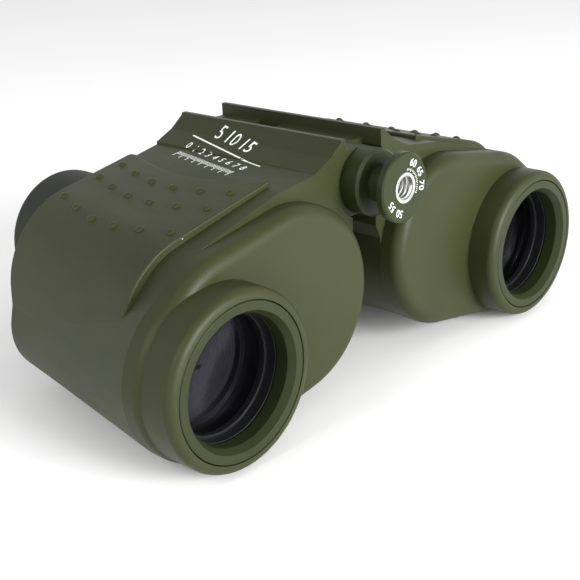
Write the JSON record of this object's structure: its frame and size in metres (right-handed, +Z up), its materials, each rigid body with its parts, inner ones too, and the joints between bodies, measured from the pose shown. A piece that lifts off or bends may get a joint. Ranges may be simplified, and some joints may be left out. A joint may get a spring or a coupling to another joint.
{
  "type": "hand-held prism binoculars",
  "caption": "Olive drab prism binoculars with a stiff centre hinge, individually focused eyepieces, rubber eyecups and a threaded tripod socket in the hinge.",
  "frame": {"origin": "mouth of the tripod socket, on the hinge axis", "axes": "+Y along the optical axes from the objectives to the eyepieces, +Z up, +X towards the user's left barrel"},
  "size_m": [0.1712, 0.108, 0.0678],
  "materials": {
    "olive_housing": "satin olive drab paint, fine grain",
    "olive_ring": "satin olive drab paint on turned metal",
    "focus_ring": "matte, scalloped",
    "eyecup_rubber": "soft matte olive-grey rubber",
    "seal_rubber": "matte black",
    "black_alloy": "matte black anodised",
    "dark_steel": "blackened steel",
    "spring_steel": "bright strip",
    "bright_insert": "bright turned metal",
    "bronze": "sintered bronze",
    "nylon": "natural nylon",
    "prism_glass": "polished, ground edges",
    "coated_glass": "polished with an anti-reflection coating"
  },
  "bodies": {
    "right_barrel": {"right_crown_lens": "coated_glass", "right_eyepiece_mount": "black_alloy", "right_eyepiece_seal": "seal_rubber", "right_flint_lens": "coated_glass", "right_front_prism": "prism_glass", "right_housing": "olive_housing", "right_lens_lock_ring": "black_alloy", "right_objective_cell": "black_alloy", "right_objective_retaining_ring": "olive_ring", "right_objective_seal": "seal_rubber", "right_prism_clips": "spring_steel", "right_prism_shelf": "black_alloy", "right_rear_cover": "olive_housing", "right_rear_cover_gasket": "seal_rubber", "right_rear_cover_screws": "dark_steel", "right_rear_prism": "prism_glass", "right_ring_retainer": "black_alloy", "right_shelf_screws": "dark_steel", "tripod_boss": "olive_ring", "tripod_thread_insert": "bright_insert", "hinge_front_flange": "olive_ring", "hinge_axle": "dark_steel", "hinge_washers": "nylon", "hinge_rear_nut": "olive_ring", "axle_set_screw": "dark_steel"},
    "left_barrel": {"left_crown_lens": "coated_glass", "left_eyepiece_mount": "black_alloy", "left_eyepiece_seal": "seal_rubber", "left_flint_lens": "coated_glass", "left_front_prism": "prism_glass", "left_housing": "olive_housing", "left_lens_lock_ring": "black_alloy", "left_objective_cell": "black_alloy", "left_objective_retaining_ring": "olive_ring", "left_objective_seal": "seal_rubber", "left_prism_clips": "spring_steel", "left_prism_shelf": "black_alloy", "left_rear_cover": "olive_housing", "left_rear_cover_gasket": "seal_rubber", "left_rear_cover_screws": "dark_steel", "left_rear_prism": "prism_glass", "left_ring_retainer": "black_alloy", "left_shelf_screws": "dark_steel", "hinge_bushes": "bronze"},
    "right_focus": {"right_eyecup": "eyecup_rubber", "right_focus_ring": "focus_ring"},
    "left_focus": {"left_eyecup": "eyecup_rubber", "left_focus_ring": "focus_ring"},
    "right_lenses": {"right_eye_lens": "coated_glass", "right_eye_lens_ring": "black_alloy", "right_field_lens": "coated_glass", "right_guide_pin": "dark_steel", "right_lens_carrier": "black_alloy"},
    "left_lenses": {"left_eye_lens": "coated_glass", "left_eye_lens_ring": "black_alloy", "left_field_lens": "coated_glass", "left_guide_pin": "dark_steel", "left_lens_carrier": "black_alloy"}
  },
  "joints": [
    {"name": "centre_hinge", "type": "hinge", "parent": "right_barrel", "child": "left_barrel", "pos_m": [0, 0.045, 0], "axis": [0, 1, 0], "range_deg": [-17, 24]},
    {"name": "right_focus_turn", "type": "hinge", "parent": "right_barrel", "child": "right_focus", "pos_m": [-0.034, 0.09, -0.024], "axis": [0, 1, 0], "range_deg": [-120, 120]},
    {"name": "right_focus_slide", "type": "slide", "parent": "right_barrel", "child": "right_lenses", "axis": [0, 1, 0], "range_m": [-0.0015, 0.0015]},
    {"name": "left_focus_turn", "type": "hinge", "parent": "left_barrel", "child": "left_focus", "pos_m": [0.034, 0.09, -0.024], "axis": [0, 1, 0], "range_deg": [-120, 120]},
    {"name": "left_focus_slide", "type": "slide", "parent": "left_barrel", "child": "left_lenses", "axis": [0, 1, 0], "range_m": [-0.0015, 0.0015]}
  ],
  "couplings": [
    {"joint": "right_focus_slide", "follows": "right_focus_turn", "m_per_rad": -0.0007162},
    {"joint": "left_focus_slide", "follows": "left_focus_turn", "m_per_rad": -0.0007162}
  ]
}
